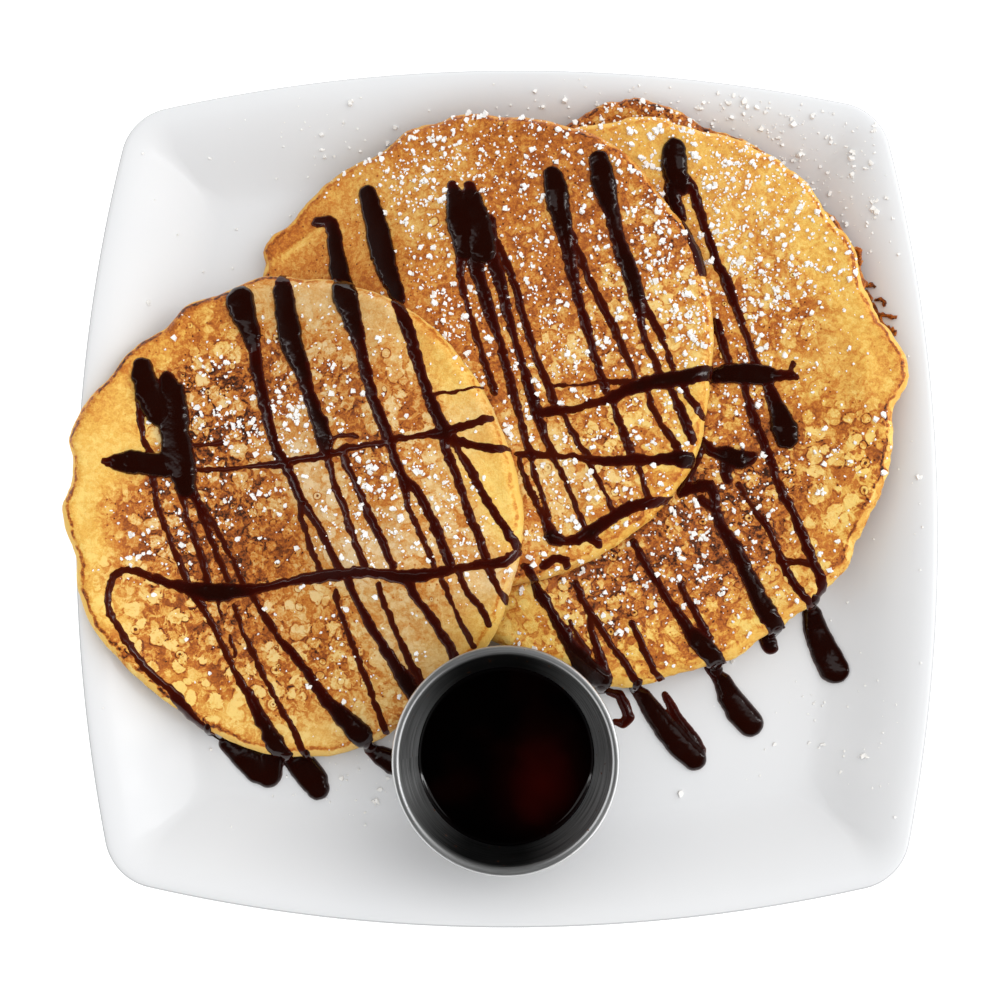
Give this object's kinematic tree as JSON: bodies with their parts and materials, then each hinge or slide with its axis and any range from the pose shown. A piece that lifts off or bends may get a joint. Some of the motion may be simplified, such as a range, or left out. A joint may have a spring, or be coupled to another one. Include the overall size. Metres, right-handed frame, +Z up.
{
  "type": "pancake stack",
  "caption": "Overlapping golden pancakes with chocolate drizzle and powdered sugar on a square white plate, with a small steel pot of dark syrup.",
  "frame": {"origin": "middle of the plate's underside, on the table", "axes": "+Z up; +X to the right; +Y to the back, away from the pot of syrup"},
  "size_m": [0.2563, 0.254, 0.039],
  "materials": {
    "porcelain": "glossy white glaze",
    "batter": "soft griddled batter, golden with brown mottling",
    "steel": "spun stainless steel",
    "syrup": "dark glossy syrup"
  },
  "bodies": {
    "root": {"plate": "porcelain", "pancake_bottom": "batter", "pancake_right": "batter", "pancake_middle": "batter", "pancake_front": "batter", "syrup_pot": "steel", "syrup": "syrup"}
  },
  "joints": []
}
